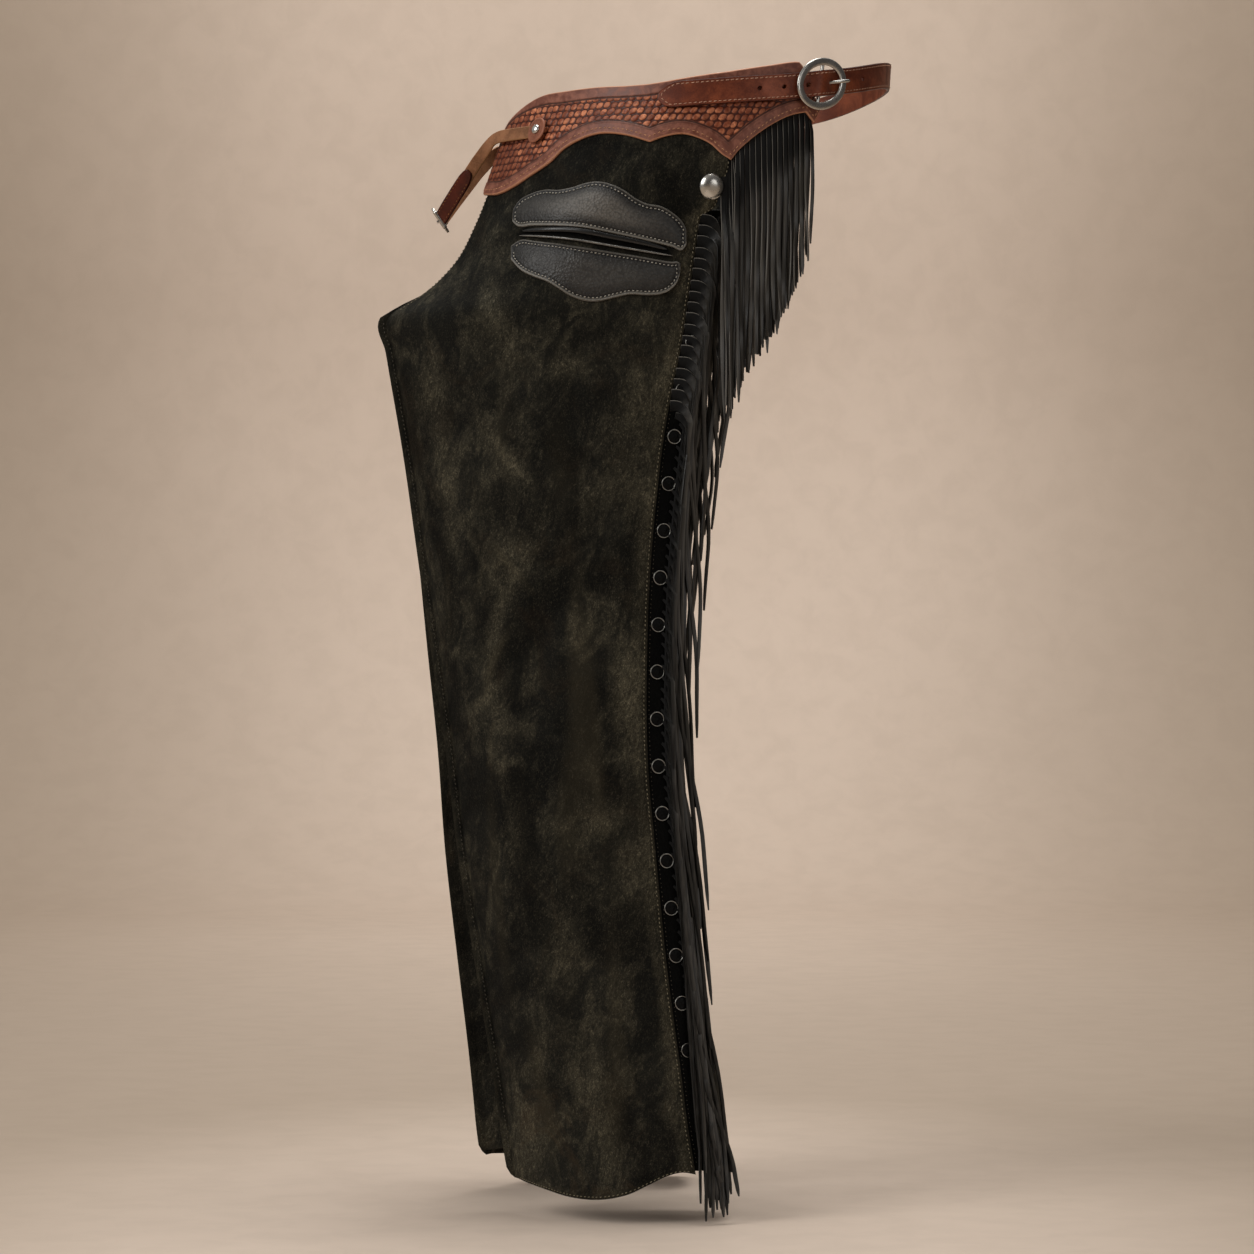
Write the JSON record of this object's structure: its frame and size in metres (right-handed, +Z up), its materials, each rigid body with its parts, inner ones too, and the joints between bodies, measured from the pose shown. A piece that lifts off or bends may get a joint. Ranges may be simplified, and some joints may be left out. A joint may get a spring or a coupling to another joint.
{
  "type": "leather chaps",
  "caption": "Full-length fringed leather chaps in worn form: hollow legs open at waist and hem, stamped yoke, snap placket, buckled waist strap.",
  "frame": {"origin": "centre of the waist ring, where the garment hangs from the hips", "axes": "+Z up, -Y to the wearer's front, +X to the wearer's left"},
  "size_m": [0.3932, 0.4635, 1.0279],
  "materials": {
    "suede": "waxed suede, matt, mottled dark olive black",
    "black_leather": "smooth grained, semi-gloss",
    "thong_leather": "smooth, soft sheen",
    "stamped_leather": "basket stamped, oiled",
    "belt_leather": "smooth oiled, burnished edges",
    "tan_leather": "smooth, undyed tan",
    "dark_brown_leather": "smooth, burnished",
    "nickel": "nickel plated, satin"
  },
  "bodies": {
    "root": {"leg_front_left": "suede", "leg_back_left": "suede", "yoke_left": "stamped_leather", "placket_left": "black_leather", "side_fringe_left": "thong_leather", "yoke_fringe_left": "thong_leather", "pocket_upper_left": "black_leather", "pocket_lower_left": "black_leather", "welt_upper_left": "black_leather", "welt_lower_left": "black_leather", "concho_left": "nickel", "strap_tab_left": "stamped_leather", "strap_rivet_left": "nickel", "snap_left_01": "nickel", "snap_left_02": "nickel", "snap_left_03": "nickel", "snap_left_04": "nickel", "snap_left_05": "nickel", "snap_left_06": "nickel", "snap_left_07": "nickel", "snap_left_08": "nickel", "snap_left_09": "nickel", "snap_left_10": "nickel", "snap_left_11": "nickel", "snap_left_12": "nickel", "leg_front_right": "suede", "leg_back_right": "suede", "yoke_right": "stamped_leather", "placket_right": "black_leather", "side_fringe_right": "thong_leather", "yoke_fringe_right": "thong_leather", "pocket_upper_right": "black_leather", "pocket_lower_right": "black_leather", "welt_upper_right": "black_leather", "welt_lower_right": "black_leather", "concho_right": "nickel", "strap_tab_right": "stamped_leather", "strap_rivet_right": "nickel", "snap_right_01": "nickel", "snap_right_02": "nickel", "snap_right_03": "nickel", "snap_right_04": "nickel", "snap_right_05": "nickel", "snap_right_06": "nickel", "snap_right_07": "nickel", "snap_right_08": "nickel", "snap_right_09": "nickel", "snap_right_10": "nickel", "snap_right_11": "nickel", "snap_right_12": "nickel", "belt_strap": "belt_leather", "buckle_ring": "nickel", "buckle_prong": "nickel", "buckle_chape": "belt_leather", "front_strap": "tan_leather", "front_billet": "dark_brown_leather", "front_buckle": "nickel", "front_prong": "nickel"}
  },
  "joints": []
}
